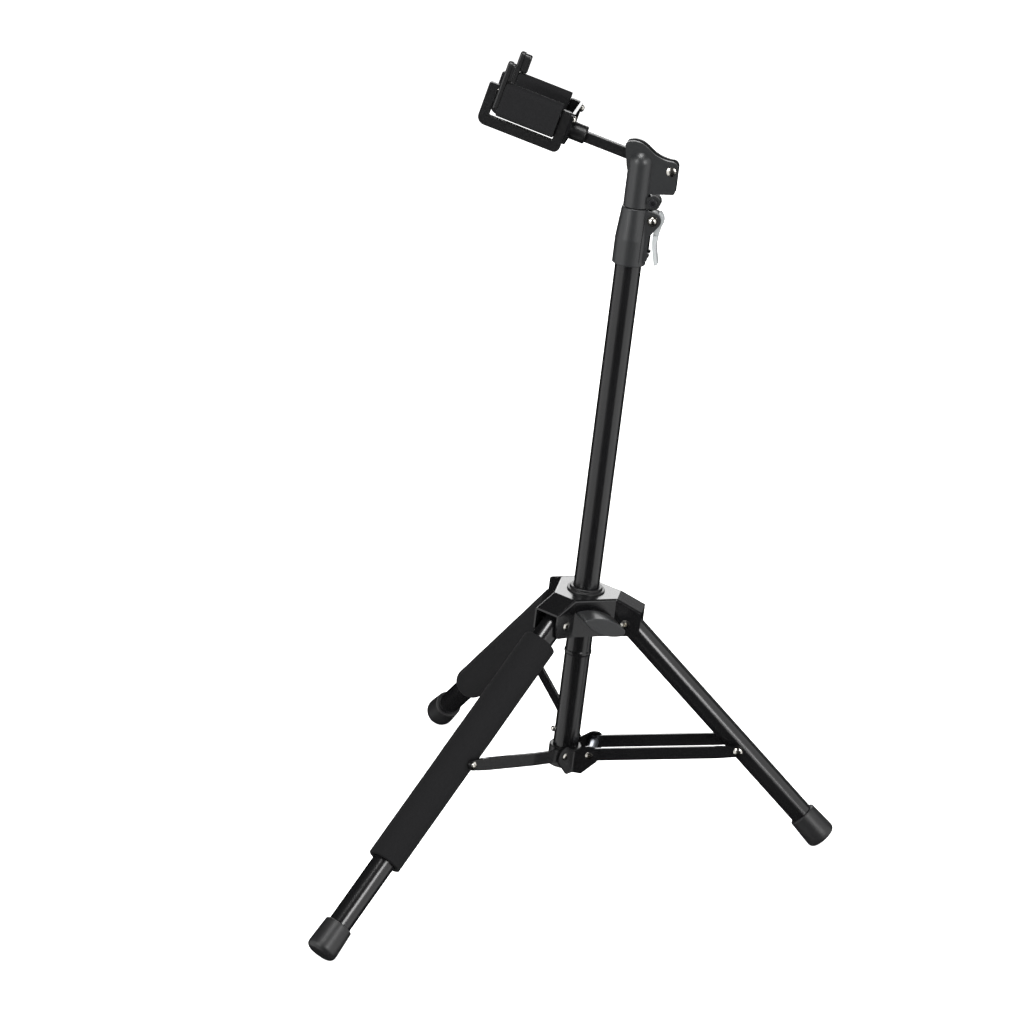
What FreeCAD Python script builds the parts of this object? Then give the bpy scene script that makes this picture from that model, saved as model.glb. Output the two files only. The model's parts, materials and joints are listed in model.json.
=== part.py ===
import FreeCAD, Part
import math, os

# Folding tripod guitar stand with a self-closing neck yoke.
# The stand is laid out in the mast's own frame: Z runs up the mast, the hub's leg pivots lie at
# Z = 0, +Y points to the bare rear leg and +X to the right front leg. The last step leans the
# whole stand back until its three feet stand level, and puts the origin on the floor.

V = FreeCAD.Vector

# ---------------------------------------------------------------- driving sizes, mm and degrees
# mast
mast_dia = 28.0
mast_wall = 1.5
mast_top = 430.0            # height of the outer tube's top over the leg pivots
mast_bottom = -170.0
bead_height = -45.0         # swaged bead that stops the hub
bead_proud = 0.9
dent_top = -141.0           # crimps at the tube's foot
dent_depth = 1.1
stop_rivet_height = -141.0
stop_rivet_dia = 4.0
post_gap = 1.5              # sliding inner tube inside the outer one
post_wall = 1.2
post_overlap = 370.0        # inner tube kept inside the outer tube
glide_length = 15.0

# hub bracket, pressed from sheet
hub_sheet = 2.0
hub_top = 26.5
hub_bottom = -16.0
hub_arm_lip = 15.9          # arm past the leg pivot
hub_arm_flat = 12.1         # arm's top bends down this far before the leg pivot
hub_arm_slope = 21.6
hub_arm_lift = 4.5          # the arm walls' lower edge rises this much to the tip
hub_facet = 31.6            # mast axis to the flat between two arms
hub_edge_round = 2.6
bush_flange = 6.5           # bush past the mast, three steps
bush_collar = 3.5
bush_wall = 2.3
bush_length = 40.0

# wing knob on the hub
wing_azimuth = 30.0
wing_height = 8.0
wing_tilt = -18.0
wing_length = 51.5
wing_width = 18.0
wing_start = 40.0
wing_end = 64.0

# legs
leg_pivot_radius = 48.6
leg_spread = 48.8           # leg to mast
leg_dia = 25.0
leg_wall = 1.2
front_leg_length = 441.7    # pivot to the foot's end
rear_leg_length = 325.0
leg_head = 11.0             # tube past the pivot
foam_wall = 6.4
foam_start = 29.0
foam_length = 294.0
foot_length = 36.0
foot_top_wall = 3.0
foot_bottom_wall = 4.2
foot_round = 6.0
foot_floor = 5.0            # rubber under the tube's end
foot_flat = 0.5             # worn flat on the floor
eyelet_dia = 8.0

# braces and lower collar
brace_on_leg = 186.1        # leg pivot to brace pivot, along the leg
brace_height = 14.0
brace_sheet = 3.0
brace_tip_dia = 11.5        # tapered outer end
brace_taper = 24.0
joggle_start = 18.0         # the front braces step out round the foam
joggle_end = 56.0
collar_pivot_radius = 29.3
collar_pivot_height = -155.9
collar_sheet = 2.0
collar_depth = 22.8         # collar's lower edge under the pivots
collar_ear_dia = 21.4
collar_wall = 4.0           # ring round the mast's foot
collar_ring_drop = 0.8      # ring's top edge under the pivots
collar_lug_height = 11.0    # lug that carries a front brace

# clutch, moulded plastic
clutch_skirt = 35.5         # clutch under the outer tube's top
clutch_rise = 25.5
clutch_wall = 3.6
clutch_top_wall = 3.5       # over the inner tube
clutch_straight = 27.5      # below the taper
clutch_ear_drop = 10.6
clutch_ear_out = 5.6
clutch_ear_dia = 17.4
clutch_ear_wall = 4.0
cam_width = 10.0
lever_width = 13.0
lever_wrap_dia = 22.6

# head, moulded plastic
head_gap = 1.0              # clutch to head, lowered
head_wall = 2.5
head_height = 60.3
cheek_sheet = 2.9
cheek_under = 16.0          # head's lower edge over its sleeve's end, behind the sleeve
clamp_out = 4.7
clamp_rise = 6.9
clamp_ear_dia = 15.0

# yoke
yoke_pivot_y = 32.6
yoke_pivot_rise = 42.8      # over the head's lower end
yoke_rise = 13.0            # arm over the square to the mast
arm_height = 11.0
arm_thickness = 7.6
arm_length = 104.0
socket_dia = 19.0
socket_lap = 8.0
socket_reach = 11.2         # arm's end to the side frames
frame_length = 90.6
frame_drop = 19.8           # lower edge under the arm's axis
frame_rise = 25.4
frame_band = 11.5
frame_prong = 10.4
frame_thickness = 6.0
frame_offset = 27.5         # mast plane to each frame
cross_plate = 3.0
cross_plate_drop = 9.0
axle_dia = 4.0
axle_drop = 6.4             # axle under the prongs' tops
pad_thickness = 14.6
pad_over_axle = 12.0
pad_gap = 0.4               # pad to the prong and to the gate
pad_lift = 1.8              # pad over the side frame's lower band
pad_round = 6.4
gate_over_axle = 34.0
gate_thickness = 5.2
gate_width = 10.0
gate_stagger = 3.8          # the left gate swings behind the right one
right_rib = 4.4
left_rib = 7.8

# fasteners
rivet_dia = 6.0
rivet_head_dia = 10.0
rivet_bore_dia = 4.6
rivet_lip = 1.3
small_rivet_dia = 5.0
screw_dia = 6.0

# clearances
running = 0.05              # pin in its hole
slide = 0.10                # tube in its bush
gap = 0.5                   # pieces that pass each other

# ---------------------------------------------------------------- derived sizes
mast_r = mast_dia / 2
post_r = mast_r - mast_wall - post_gap
leg_r = leg_dia / 2
foam_r = leg_r + foam_wall
post_bottom = mast_top - post_overlap
hub_arm_reach = leg_pivot_radius + hub_arm_lip
hub_arm_bend = leg_pivot_radius - hub_arm_flat
arm_half = leg_r + 1.25 + hub_sheet
foot_top_r = leg_r + foot_top_wall
foot_bottom_r = leg_r + foot_bottom_wall
brace_inner = foot_bottom_r + 0.9              # the folded rear foot passes between its braces
collar_bottom = collar_pivot_height - collar_depth
collar_ring_r = mast_r + collar_wall
foam_brace_inner = max(foam_r + gap, brace_inner)
collar_inside = brace_inner + brace_sheet + 0.2
collar_outside = collar_inside + collar_sheet
lug_inner = 8.0                                # a front brace's lug, from the leg's middle plane
lug_outer = brace_inner - 0.1
clutch_bottom = mast_top - clutch_skirt
clutch_top = mast_top + clutch_rise
clutch_r = mast_r + clutch_wall
clutch_top_r = post_r + clutch_top_wall
clutch_ear_y = clutch_top_r + clutch_ear_out
clutch_ear_height = clutch_top - clutch_ear_drop
clutch_bush_r = post_r + 1.9
ear_inner = cam_width / 2 + 0.3
ear_outer = ear_inner + clutch_ear_wall
head_r = post_r + head_wall
head_bottom = clutch_top + head_gap
head_shoulder = head_bottom + head_height - head_r
cheek_inner = arm_thickness / 2 + gap
cheek_outer = cheek_inner + cheek_sheet
clamp_y = head_r + clamp_out
clamp_height = head_bottom + clamp_rise
yoke_pivot_height = head_bottom + yoke_pivot_rise
post_top = yoke_pivot_height - arm_height / 2 - gap    # the arm's rest passes over the tube's end
yoke_place = FreeCAD.Placement(V(0, yoke_pivot_y, yoke_pivot_height),
                               FreeCAD.Rotation(V(1, 0, 0), -yoke_rise))
axle_rise = frame_rise - axle_drop
frame_start = arm_length + socket_reach        # rear face of the side frames
frame_end = frame_start + frame_length
window_start = frame_start + frame_prong
window_end = frame_end - frame_prong
gate_start = window_end - 0.8 - gate_thickness
pad_start = window_start + pad_gap
pad_bottom = -frame_drop + frame_band + pad_lift
pad_top = axle_rise + pad_over_axle
azimuths = {"right": -30.0, "rear": 90.0, "left": 210.0}
front_sides = {"right": 1, "left": -1}         # side of the leg that faces the rear leg
yoke_sides = {"right": (0.0, right_rib), "left": (gate_stagger, left_rib)}


def leg_point(distance):
    """Point on a leg's axis, as radius and height."""
    a = math.radians(leg_spread)
    return leg_pivot_radius + distance * math.sin(a), -distance * math.cos(a)


brace_end = leg_point(brace_on_leg)
brace_run = brace_end[0] - collar_pivot_radius
brace_climb = brace_end[1] - collar_pivot_height
brace_length = math.hypot(brace_run, brace_climb)
brace_slope = math.degrees(math.atan2(brace_climb, brace_run))


# ---------------------------------------------------------------- shape helpers
def side(p, q, s=0.0):
    """Profile in the mast's side view: p back, q up, s to the right."""
    return V(s, p, q)


def leg_side(p, q, s=0.0):
    """Profile in a leg's own plane: p outward, q up, s along the hinge."""
    return V(p, s, q)


def plan(p, q, s=0.0):
    return V(p, q, s)


def yoke_side(a, b, s=0.0):
    """Profile in the yoke's side view: a forward from its pivot, b up."""
    return V(s, -a, b)


def yoke_front(p, q, s=0.0):
    """Profile across the yoke: p right, q up, s forward."""
    return V(p, -s, q)


def corner_arc(before, corner, after, radius):
    """Tangent points and middle of the arc that rounds one corner."""
    ux, uy = before[0] - corner[0], before[1] - corner[1]
    wx, wy = after[0] - corner[0], after[1] - corner[1]
    lu, lw = math.hypot(ux, uy), math.hypot(wx, wy)
    ux, uy, wx, wy = ux / lu, uy / lu, wx / lw, wy / lw
    half = math.acos(max(-1.0, min(1.0, ux * wx + uy * wy))) / 2
    back = radius / math.tan(half)
    mx, my = ux + wx, uy + wy
    lm = math.hypot(mx, my)
    reach = radius / math.sin(half) - radius
    start = (corner[0] + ux * back, corner[1] + uy * back)
    middle = (corner[0] + mx / lm * reach, corner[1] + my / lm * reach)
    end = (corner[0] + wx * back, corner[1] + wy * back)
    return start, middle, end


def outline(corners, view, s=0.0):
    """Closed wire through corners given as (p, q) or (p, q, radius)."""
    runs = []
    for i, c in enumerate(corners):
        if len(c) == 3 and c[2] > 0:
            runs.append(corner_arc(corners[i - 1], c, corners[(i + 1) % len(corners)], c[2]))
        else:
            runs.append((c[:2],))
    edges = []
    for i, run in enumerate(runs):
        if len(run) == 3:
            edges.append(Part.Arc(view(*run[0], s), view(*run[1], s), view(*run[2], s)).toShape())
        start, end = view(*run[-1], s), view(*runs[(i + 1) % len(runs)][0], s)
        if start.distanceToPoint(end) > 1e-6:
            edges.append(Part.makeLine(start, end))
    return Part.Wire(edges)


def slab(corners, view, low, high):
    """Flat piece: an outline pushed through from low to high."""
    face = Part.Face(outline(corners, view, low))
    return face.extrude(view(0, 0, high) - view(0, 0, low))


def turned(corners):
    """Solid turned about Z from an outline of (radius, height, round)."""
    return Part.Face(outline(corners, leg_side)).revolve(V(0, 0, 0), V(0, 0, 1), 360)


def rod(view, p, q, low, high, radius):
    """Round bar through (p, q) of a view, from low to high."""
    start, end = view(p, q, low), view(p, q, high)
    return Part.makeCylinder(radius, (end - start).Length, start, end - start)


def tube(view, p, q, low, high, radius, bore):
    return rod(view, p, q, low, high, radius).cut(rod(view, p, q, low - 1, high + 1, bore))


def block(x0, x1, y0, y1, z0, z1):
    return Part.makeBox(x1 - x0, y1 - y0, z1 - z0, V(x0, y0, z0))


def turn(shape, azimuth):
    """Copy of a shape turned about the mast."""
    copy = shape.copy()
    copy.rotate(V(0, 0, 0), V(0, 0, 1), azimuth)
    return copy


def moved(shape, placement):
    copy = shape.copy()
    copy.Placement = placement.multiply(copy.Placement)
    return copy


def mirrored(shape):
    return shape.mirror(V(0, 0, 0), V(1, 0, 0))


def domed_head(view, p, q, face, direction, radius, height):
    """Rivet or screw head standing on a face: a shallow dome with a short straight rim."""
    rim = height * 0.35
    rise = height - rim
    ball = (radius * radius + rise * rise) / (2 * rise)
    base = rod(view, p, q, min(face, face + direction * rim), max(face, face + direction * rim), radius)
    centre = view(p, q, face + direction * (height - ball))
    cap = Part.makeSphere(ball, centre)
    far = face + direction * (height + 1)
    near = face + direction * (rim - 0.02)
    keep = rod(view, p, q, min(near, far), max(near, far), radius)
    return base.fuse(cap.common(keep)).removeSplitter()


def hex_prism(view, p, q, low, high, across):
    r = across / math.sqrt(3)
    corners = [(p + r * math.cos(math.radians(60 * k)), q + r * math.sin(math.radians(60 * k)))
               for k in range(6)]
    return slab(corners, view, low, high)


def tubular_rivet(view, p, q, low, high, radius, head_radius, bore):
    """Hollow rivet closed over both outer faces."""
    body = rod(view, p, q, low - rivet_lip / 2, high + rivet_lip / 2, radius)
    body = body.fuse(domed_head(view, p, q, high, 1, head_radius, rivet_lip))
    body = body.fuse(domed_head(view, p, q, low, -1, head_radius, rivet_lip))
    return body.cut(rod(view, p, q, low - rivet_lip - 1, high + rivet_lip + 1, bore)).removeSplitter()


def rounded(shape, radius, wanted):
    """Round the edges whose middle point passes the test."""
    edges = [e for e in shape.Edges if wanted(e, e.valueAt((e.FirstParameter + e.LastParameter) / 2))]
    return shape.makeFillet(radius, edges)


# ---------------------------------------------------------------- mast
def mast_tube():
    inner = mast_r - mast_wall
    bead = mast_r + bead_proud
    body = turned([(inner, mast_bottom), (mast_r, mast_bottom), (mast_r, bead_height - 2.6, 1.0),
                   (bead, bead_height - 1.2, 1.0), (bead, bead_height + 1.2, 1.0),
                   (mast_r, bead_height + 2.6, 1.0), (mast_r, mast_top), (inner, mast_top)])
    body = body.cut(stop_rivet_shank())
    wide = 3.0
    long = dent_top - collar_pivot_height
    for azimuth in (0, 45, 90, 135, 180, 225, 315):
        dent = Part.makeCone(0, wide, long, V(mast_r + wide - dent_depth, 0, dent_top), V(0, 0, -1))
        body = body.cut(turn(dent, azimuth))
    return body


def stop_rivet_shank():
    start = V(0, -mast_r - 0.5, stop_rivet_height)
    return Part.makeCylinder(stop_rivet_dia / 2, mast_r, start, V(0, 1, 0))


def mast_foot_plug():
    """Plug that keeps the tube's lower end round."""
    plug = rod(plan, 0, 0, mast_bottom, stop_rivet_height + 9, mast_r - mast_wall)
    return plug.cut(stop_rivet_shank())


def mast_rivet():
    """Stop rivet that stands out of the tube's front."""
    def front(p, q, s=0.0):
        return V(p, -s, q)
    shank = stop_rivet_shank()
    head = domed_head(front, 0, stop_rivet_height, mast_r - 0.3, 1, 3.3, 4.8)
    head = head.cut(rod(plan, 0, 0, mast_bottom, 0, mast_r))
    return shank.fuse(head).removeSplitter()


# ---------------------------------------------------------------- lower collar
def collar_wing():
    """Side view of one wing: an ear round the pivot and a foot down to the crease."""
    r, h, ear = collar_pivot_radius, collar_pivot_height, collar_ear_dia / 2
    low, top = math.radians(-38), math.radians(128)
    corners = [(0, collar_bottom), (r - 0.6 * ear, collar_bottom, 2.0),
               (r + ear * math.cos(low), h + ear * math.sin(low)), (r, h),
               (r + ear * math.cos(top), h + ear * math.sin(top)),
               (r - 1.45 * ear, h + 1.6, 5.0), (0, h + 1.6)]
    deep = collar_outside + 5
    return slab(corners, leg_side, 0, deep).fuse(rod(leg_side, r, h, 0, deep, ear))


def bent_strip(near, far, reach, low, high):
    """Strip between two offsets, bent round the crease between a leg and the next one."""
    turn_on = math.radians(120)

    def profile(t):
        crease = t / math.tan(math.radians(60))
        c, s = math.cos(turn_on), math.sin(turn_on)
        onward = (reach * c + t * s, reach * s - t * c)
        return [(reach, t), (crease, t), onward]

    inner, outer = profile(near), profile(far)
    corners = [inner[0], inner[1] + (2.0,), inner[2], outer[2], outer[1] + (4.0,), outer[0]]
    return slab(corners, plan, low, high)


def collar_plate(first):
    """Plate bent round the crease between the leg at azimuth first and the next leg."""
    strip = bent_strip(collar_inside, collar_outside, collar_pivot_radius + collar_ear_dia,
                       collar_bottom - 5, collar_pivot_height + collar_ear_dia)
    wing = collar_wing()
    next_wing = turn(wing.mirror(V(0, 0, 0), V(0, 1, 0)), 120)
    bore = rod(leg_side, collar_pivot_radius, collar_pivot_height, -60, 60, rivet_dia / 2)
    plate = strip.common(wing.fuse(next_wing)).cut(bore).cut(turn(bore, 120))
    return turn(plate, first)


def collar_core():
    """Ring round the mast's foot, with a rib to each plate and a lug for each front brace."""
    low, high = collar_bottom, collar_pivot_height - collar_ring_drop
    body = turned([(mast_r, mast_bottom), (0, mast_bottom), (0, low), (collar_ring_r, low, 1.0),
                   (collar_ring_r, high, 1.5), (mast_r, high)])
    crease = collar_inside / math.sin(math.radians(60))
    for azimuth in (azimuths["right"] + 60, azimuths["rear"] + 60):
        rib = block(mast_r + 1, crease - 1.2, -4, 4, low + 2, high - 2)
        keep = bent_strip(mast_r - 2, collar_inside, 40, low, high)
        body = body.fuse(turn(rib, azimuth).common(turn(keep, azimuth - 60)))
    for name, side_sign in front_sides.items():
        lug = rod(leg_side, collar_pivot_radius, collar_pivot_height, lug_inner, lug_outer,
                  collar_lug_height / 2)
        lug = lug.fuse(block(mast_r + 1, collar_pivot_radius, lug_inner, lug_outer,
                             collar_pivot_height - collar_lug_height / 2, high))
        if side_sign < 0:
            lug = lug.mirror(V(0, 0, 0), V(0, 1, 0))
        body = body.fuse(turn(lug, azimuths[name]))
        pin = rod(leg_side, collar_pivot_radius, collar_pivot_height, -40, 40, rivet_dia / 2)
        body = body.cut(turn(pin, azimuths[name]))
    body = body.cut(rod(plan, 0, 0, mast_bottom, high + 1, mast_r))
    return body.removeSplitter()


def collar_rivets():
    r, h = collar_pivot_radius, collar_pivot_height
    head, bore = rivet_head_dia / 2 - 0.9, rivet_bore_dia / 2 - 0.6
    rear = tubular_rivet(leg_side, r, h, -collar_outside, collar_outside, rivet_dia / 2, head, bore)
    front = tubular_rivet(leg_side, r, h, lug_inner, collar_outside, rivet_dia / 2, head, bore)
    other = front.mirror(V(0, 0, 0), V(0, 1, 0))
    return Part.makeCompound([turn(rear, azimuths["rear"]), turn(front, azimuths["right"]),
                              turn(other, azimuths["left"])])


def collar_spacer():
    """Tube that holds the two rear braces apart."""
    ring = tube(leg_side, collar_pivot_radius, collar_pivot_height, -lug_outer, lug_outer,
                rivet_dia / 2 + 1.8, rivet_dia / 2)
    return turn(ring, azimuths["rear"])


# ---------------------------------------------------------------- hub
def hub_outline(inset, reach):
    """Plan of the hub: three arms and the flats between them."""
    half = arm_half - inset
    start = 2 * (hub_facet - inset) - math.sqrt(3) * half
    corners = []
    for azimuth in azimuths.values():
        c, s = math.cos(math.radians(azimuth)), math.sin(math.radians(azimuth))
        for r, t in ((start, -half), (reach, -half), (reach, half), (start, half)):
            corners.append((r * c - t * s, r * s + t * c))
    return corners


def hub_blank(inset, reach, bottom):
    """Solid under the hub's sheet, with the arm tops bent down."""
    top = hub_top - inset
    slope = math.radians(hub_arm_slope)
    bend = hub_arm_bend - inset * math.tan(slope / 2)
    far = reach + 60
    fall = (far - bend) * math.tan(slope)
    wedge = slab([(bend, top), (far, top - fall), (far, top + 40), (bend, top + 40)], leg_side, -40, 40)
    body = slab(hub_outline(inset, reach), plan, bottom, top)
    for azimuth in azimuths.values():
        body = body.cut(turn(wedge, azimuth))
    return body


def hub_bracket():
    outer = hub_blank(0, hub_arm_reach, hub_bottom)
    low = hub_top - (hub_arm_reach - hub_arm_bend) * math.tan(math.radians(hub_arm_slope)) - 0.5

    def on_top(edge, middle):
        level = edge.BoundBox.ZMin > low
        radial = math.hypot(middle.x, middle.y)
        tip = radial > hub_arm_reach - 2 and edge.BoundBox.ZLength < 0.1
        bend_line = abs(radial - hub_arm_bend) < 0.5 and edge.BoundBox.ZLength < 0.1 \
            and edge.Length > 2 * arm_half - 1
        return level and not tip and not bend_line

    shell = rounded(outer, hub_edge_round, on_top)
    shell = shell.cut(hub_blank(hub_sheet, hub_arm_reach + 20, hub_bottom - 5))
    tip = hub_bottom + hub_arm_lift
    keep = slab([(hub_arm_bend - 8, hub_bottom - 1), (hub_arm_bend, hub_bottom - 0.01),
                 (hub_arm_reach, tip, 6.0), (hub_arm_reach, 2), (hub_arm_bend - 8, 2)], leg_side, -40, 40)
    trim = block(hub_arm_bend, hub_arm_reach + 20, -30, 30, hub_bottom - 20, 1).cut(keep)
    pin = rod(leg_side, leg_pivot_radius, 0, -40, 40, rivet_dia / 2)
    for azimuth in azimuths.values():
        shell = shell.cut(turn(trim, azimuth)).cut(turn(pin, azimuth))
    shell = shell.cut(rod(plan, 0, 0, hub_bottom, hub_top + 5, mast_r + slide + bush_wall))
    return shell.cut(wing_axis(screw_dia / 2 + 0.3, mast_r, hub_facet + 5))


def hub_bush():
    """Flanged plastic sleeve that guides the hub on the mast."""
    bore = mast_r + slide
    flange, collar = mast_r + bush_flange, mast_r + bush_collar
    body = turned([(bore, hub_top - bush_length), (bore + bush_wall, hub_top - bush_length),
                   (bore + bush_wall, hub_top), (flange, hub_top), (flange, hub_top + 1.8, 0.8),
                   (collar, hub_top + 1.8, 0.6), (collar, hub_top + 4.6, 1.0), (bore, hub_top + 4.6, 0.8)])
    return body.cut(wing_axis(screw_dia / 2 + 0.6, 0, hub_facet))


def hub_rivets():
    one = tubular_rivet(leg_side, leg_pivot_radius, 0, -arm_half, arm_half, rivet_dia / 2,
                        rivet_head_dia / 2, rivet_bore_dia / 2)
    return Part.makeCompound([turn(one, a) for a in azimuths.values()])


def wing_axis(radius, low, high):
    """Round bar along the wing screw's axis."""
    return turn(Part.makeCylinder(radius, high - low, V(low, 0, wing_height), V(1, 0, 0)), wing_azimuth)


def wing_knob():
    """Wing with one thin and one blunt end, on a short neck."""
    half, rise = wing_length / 2, wing_width / 2
    thin, blunt = 1.9, 4.6
    reach = half + 2.45
    radius = (reach * reach + rise * rise) / (2 * rise)
    depth = wing_end - wing_start
    arcs = [Part.makeCylinder(radius, depth, V(wing_start, 1.0, side_sign * (radius - rise)), V(1, 0, 0))
            for side_sign in (1, -1)]
    paddle = arcs[0].common(arcs[1])
    paddle = rounded(paddle, thin, lambda e, m: e.BoundBox.XLength > 1 and m.y < 0)
    paddle = rounded(paddle, blunt, lambda e, m: e.BoundBox.XLength > 1 and m.y > half)
    paddle = rounded(paddle, 1.0, lambda e, m: abs(m.x - wing_end) < 0.01)
    neck = Part.makeCylinder(6.5, wing_start - hub_facet - gap + 2, V(hub_facet + gap, 0, 0), V(1, 0, 0))
    knob = paddle.fuse(neck)
    knob.rotate(V(0, 0, 0), V(1, 0, 0), wing_tilt)
    knob.translate(V(0, 0, wing_height))
    return turn(knob, wing_azimuth).cut(wing_axis(screw_dia / 2, 0, wing_start + 6))


def wing_screw():
    return wing_axis(screw_dia / 2, mast_r + slide + gap, wing_start + 6)


def wing_nut():
    def facing(p, q, s=0.0):
        return V(s, p, q)
    nut = hex_prism(facing, 0, wing_height, hub_facet - hub_sheet - 5, hub_facet - hub_sheet, 10.0)
    return turn(nut, wing_azimuth).cut(wing_axis(screw_dia / 2 + running, 0, hub_facet + 5))


# ---------------------------------------------------------------- legs
def on_leg(shape, azimuth):
    """Place a piece drawn hanging straight down from the pivot on a spread leg."""
    copy = shape.copy()
    copy.rotate(V(0, 0, 0), V(0, 1, 0), -leg_spread)
    copy.translate(V(leg_pivot_radius, 0, 0))
    return turn(copy, azimuth)


def leg_tube(length, azimuth):
    body = tube(plan, 0, 0, -length + foot_floor, leg_head, leg_r, leg_r - leg_wall)
    body = body.cut(rod(leg_side, 0, 0, -leg_r - 1, leg_r + 1, rivet_dia / 2 + running))
    body = body.cut(rod(leg_side, 0, -brace_on_leg, -leg_r - 1, leg_r + 1, eyelet_dia / 2))
    return on_leg(body, azimuth)


def leg_eyelet(azimuth, low, high):
    """Bush across the leg that the brace screw runs in."""
    body = tube(leg_side, 0, -brace_on_leg, low, high, eyelet_dia / 2, rivet_dia / 2 - 0.8)
    return on_leg(body, azimuth)


def leg_foam(azimuth):
    """Soft sleeve round a front leg."""
    low = -foam_start - foam_length
    body = tube(plan, 0, 0, low, -foam_start, foam_r, leg_r)
    body = body.cut(rod(leg_side, 0, -brace_on_leg, -foam_r - 1, foam_r + 1, eyelet_dia / 2))
    return on_leg(body, azimuth)


def foot_cap(length, azimuth):
    """Rubber foot, a little wider at the floor."""
    top, low = foot_top_r, foot_bottom_r
    end = -length
    body = turned([(0, end), (low, end, foot_round), (low, end + 9, 3.0), (top, end + foot_length, 1.2),
                   (leg_r, end + foot_length), (leg_r, end + foot_floor), (0, end + foot_floor)])
    return on_leg(body, azimuth)


# ---------------------------------------------------------------- braces
def on_brace(shape, azimuth):
    """Place a piece drawn along +X from the collar pivot on a brace."""
    copy = shape.copy()
    copy.rotate(V(0, 0, 0), V(0, 1, 0), -brace_slope)
    copy.translate(V(collar_pivot_radius, 0, collar_pivot_height))
    return turn(copy, azimuth)


def brace_blank(low, high):
    """Flat bar with a round inner end and a tapered, rounded outer end."""
    half, tip = brace_height / 2, brace_tip_dia / 2
    taper = brace_length - brace_taper
    corners = [(0, -half), (taper, -half, 8.0), (brace_length, -tip), (brace_length, tip),
               (taper, half, 8.0), (0, half)]
    bar = slab(corners, leg_side, low, high)
    bar = bar.fuse(rod(leg_side, 0, 0, low, high, half))
    bar = bar.fuse(rod(leg_side, brace_length, 0, low, high, tip)).removeSplitter()
    bar = bar.cut(rod(leg_side, 0, 0, low - 1, high + 1, rivet_dia / 2 + running))
    return bar.cut(rod(leg_side, brace_length, 0, low - 1, high + 1, small_rivet_dia / 2))


def rear_brace(sign):
    low, high = sorted((sign * brace_inner, sign * (brace_inner + brace_sheet)))
    return on_brace(brace_blank(low, high), azimuths["rear"])


def front_brace(name):
    """Bar that steps out from the collar to pass outside the foam."""
    inner, outer = brace_inner, foam_brace_inner
    half, far = brace_height, brace_length + brace_height
    path = [(-half, inner), (joggle_start, inner, 12.0), (joggle_end, outer, 12.0), (far, outer)]
    back = [(far, outer + brace_sheet), (joggle_end, outer + brace_sheet, 12.0),
            (joggle_start, inner + brace_sheet, 12.0), (-half, inner + brace_sheet)]
    strip = slab(path + back, plan, -half, half)
    bar = strip.common(brace_blank(inner - 1, outer + brace_sheet + 1))
    if front_sides[name] < 0:
        bar = bar.mirror(V(0, 0, 0), V(0, 1, 0))
    return on_brace(bar, azimuths[name])


def front_brace_screw(name):
    """Pan head screw with a cross recess, on the outside of a front brace."""
    face = foam_brace_inner + brace_sheet
    head = domed_head(leg_side, brace_length, 0, face, 1, 4.6, 2.7)
    for a in (45, 135):
        slot = block(-3.0, 3.0, face + 1.2, face + 6, -0.55, 0.55)
        slot.rotate(V(0, 0, 0), V(0, 1, 0), a)
        slot.translate(V(brace_length, 0, 0))
        head = head.cut(slot)
    screw = head.fuse(rod(leg_side, brace_length, 0, foam_brace_inner, face, small_rivet_dia / 2))
    if front_sides[name] < 0:
        screw = screw.mirror(V(0, 0, 0), V(0, 1, 0))
    return on_brace(screw, azimuths[name])


def rear_brace_rivets():
    face = brace_inner + brace_sheet
    one = domed_head(leg_side, brace_length, 0, face, 1, 4.8, 2.4)
    one = one.fuse(rod(leg_side, brace_length, 0, brace_inner, face, small_rivet_dia / 2))
    pair = Part.makeCompound([one, one.mirror(V(0, 0, 0), V(0, 1, 0))])
    return on_brace(pair, azimuths["rear"])


# ---------------------------------------------------------------- sliding post
def inner_tube():
    return tube(plan, 0, 0, post_bottom, post_top, post_r, post_r - post_wall)


def inner_glide():
    """Plastic glide on the inner tube's lower end."""
    skirt = mast_r - mast_wall - slide
    bore = post_r - post_wall
    return turned([(bore - 2, post_bottom - 3), (skirt, post_bottom - 3, 1.0), (skirt, post_bottom),
                   (bore, post_bottom), (bore, post_bottom + glide_length),
                   (bore - 2, post_bottom + glide_length)])


# ---------------------------------------------------------------- clutch
def clutch_profile(inset):
    bottom, top = clutch_r - inset, clutch_top_r - inset
    return turned([(0, clutch_bottom + inset), (bottom, clutch_bottom + inset, 1.2),
                   (bottom, clutch_bottom + clutch_straight, 12.0), (top, clutch_top - inset, 0.8),
                   (0, clutch_top - inset)])


def clutch_ear(low, high):
    """One ear with its flange down the back of the clutch."""
    r, y, z = clutch_ear_dia / 2, clutch_ear_y, clutch_ear_height
    back = clutch_r + 0.9
    under = math.radians(-42)
    corners = [(clutch_r - 9, clutch_bottom + 4), (back, clutch_bottom + 4, 2.0), (back, z - 17.5, 3.0),
               (y + r * math.cos(under), z + r * math.sin(under)), (y, z), (y, z + r),
               (clutch_r - 9, clutch_top)]
    ear = slab(corners, side, low, high).fuse(rod(side, y, z, low, high, r))
    for nub, out in ((13.5, 2.2), (8.5, 1.0)):
        middle = clutch_bottom + nub
        ear = ear.fuse(slab([(back - 1, middle - 2.4), (back + out, middle - 1, 0.6),
                             (back + out, middle + 1, 0.6), (back - 1, middle + 2.4)], side, low, high))
    return ear.removeSplitter()


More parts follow.
